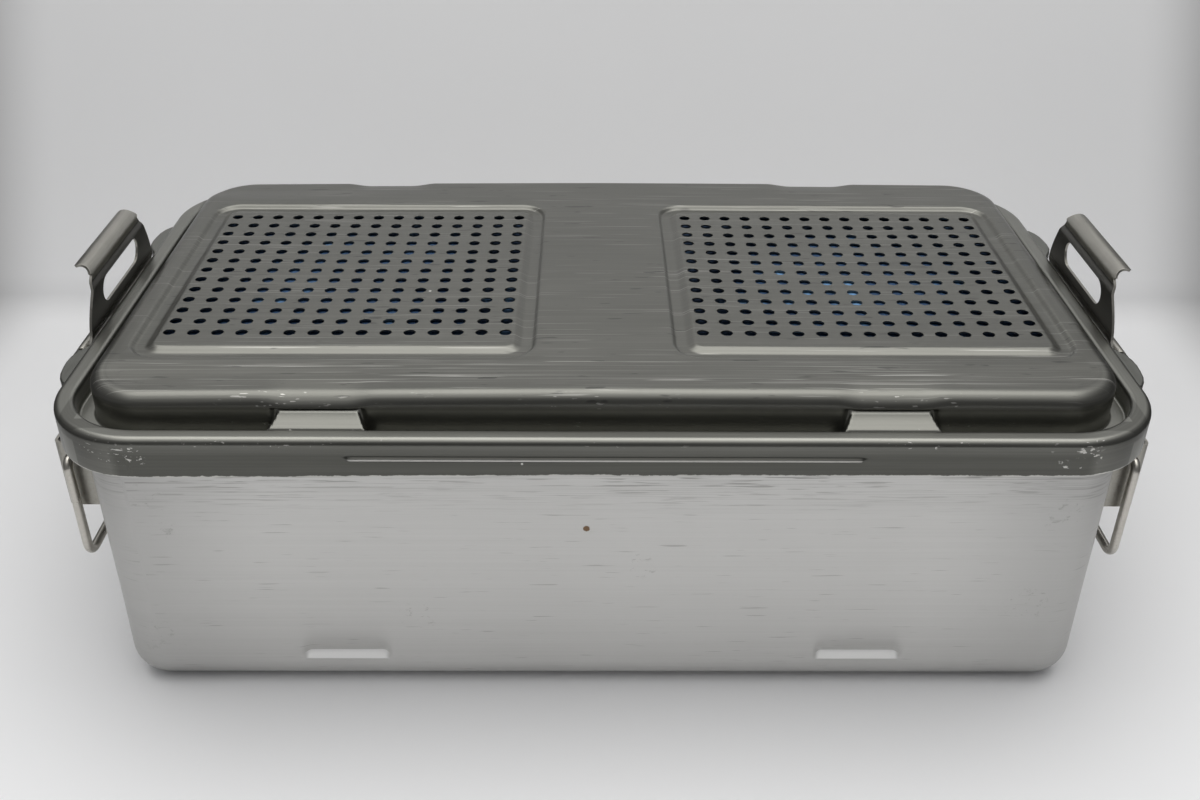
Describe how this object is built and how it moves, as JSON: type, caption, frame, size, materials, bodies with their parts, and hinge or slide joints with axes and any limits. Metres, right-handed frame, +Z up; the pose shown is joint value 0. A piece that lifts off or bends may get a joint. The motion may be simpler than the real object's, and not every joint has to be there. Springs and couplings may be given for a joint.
{
  "type": "rigid sterilisation container",
  "caption": "Rectangular aluminium sterilisation container for instrument trays: deep pan, perforated latching lid, end bail handles, inner basket and filters.",
  "frame": {"origin": "centre of the flat underside of the base pan, on the surface the container stands on", "axes": "+X along the length towards the right end, +Y across the width towards the back, +Z up"},
  "size_m": [0.5878, 0.3206, 0.2082],
  "materials": {
    "lid_anodised": "satin dark grey anodised",
    "pan_anodised": "satin natural anodised",
    "stainless": "brushed",
    "silicone": "matt",
    "filter_blue": "nonwoven",
    "retainer_anodised": "satin natural anodised"
  },
  "bodies": {
    "base": {"base_pan": "pan_anodised", "handle_bracket_left": "stainless", "handle_bracket_right": "stainless", "bracket_rivets": "stainless"},
    "bail_left": {"bail_handle_left": "stainless"},
    "bail_right": {"bail_handle_right": "stainless"},
    "lid": {"lid_shell": "lid_anodised", "lid_gasket": "silicone", "latch_bracket_left": "lid_anodised", "latch_bracket_right": "lid_anodised", "latch_bracket_rivets": "stainless", "latch_pin_left": "stainless", "latch_pin_right": "stainless", "filter_sheet_left": "filter_blue", "filter_sheet_right": "filter_blue", "retainer_studs": "stainless"},
    "latch_left": {"latch_left": "stainless"},
    "latch_right": {"latch_right": "stainless"},
    "retainer_left": {"filter_retainer_left": "retainer_anodised", "retainer_snaps_left": "stainless", "retainer_knob_left": "stainless"},
    "retainer_right": {"filter_retainer_right": "retainer_anodised", "retainer_snaps_right": "stainless", "retainer_knob_right": "stainless"},
    "basket": {"basket_tray": "stainless", "basket_rim_rod": "stainless", "basket_handle_clips": "stainless", "basket_feet": "silicone"},
    "basket_grip_left": {"basket_handle_left": "stainless"},
    "basket_grip_right": {"basket_handle_right": "stainless"}
  },
  "joints": [
    {"name": "lid_lift", "type": "slide", "parent": "base", "child": "lid", "axis": [0, 0, 1], "range_m": [0, 0.36]},
    {"name": "basket_lift", "type": "slide", "parent": "base", "child": "basket", "axis": [0, 0, 1], "range_m": [0, 0.18]},
    {"name": "latch_left_turn", "type": "hinge", "parent": "lid", "child": "latch_left", "pos_m": [-0.2885, 0, 0.1615], "axis": [0, -1, 0], "range_deg": [0, 180]},
    {"name": "latch_right_turn", "type": "hinge", "parent": "lid", "child": "latch_right", "pos_m": [0.2885, 0, 0.1615], "axis": [0, 1, 0], "range_deg": [0, 180]},
    {"name": "bail_left_turn", "type": "hinge", "parent": "base", "child": "bail_left", "pos_m": [-0.2825, 0, 0.13], "axis": [0, 1, 0], "range_deg": [-8, 90]},
    {"name": "bail_right_turn", "type": "hinge", "parent": "base", "child": "bail_right", "pos_m": [0.2825, 0, 0.13], "axis": [0, -1, 0], "range_deg": [-8, 90]},
    {"name": "retainer_left_drop", "type": "slide", "parent": "lid", "child": "retainer_left", "axis": [0, 0, -1], "range_m": [0, 0.04]},
    {"name": "retainer_right_drop", "type": "slide", "parent": "lid", "child": "retainer_right", "axis": [0, 0, -1], "range_m": [0, 0.04]},
    {"name": "basket_grip_left_turn", "type": "hinge", "parent": "basket", "child": "basket_grip_left", "pos_m": [-0.2415, 0, 0.082], "axis": [0, -1, 0], "range_deg": [0, 180]},
    {"name": "basket_grip_right_turn", "type": "hinge", "parent": "basket", "child": "basket_grip_right", "pos_m": [0.2415, 0, 0.082], "axis": [0, 1, 0], "range_deg": [0, 180]}
  ],
  "couplings": [
    {"joint": "basket_lift", "follows": "lid_lift", "ratio": 0.5}
  ]
}
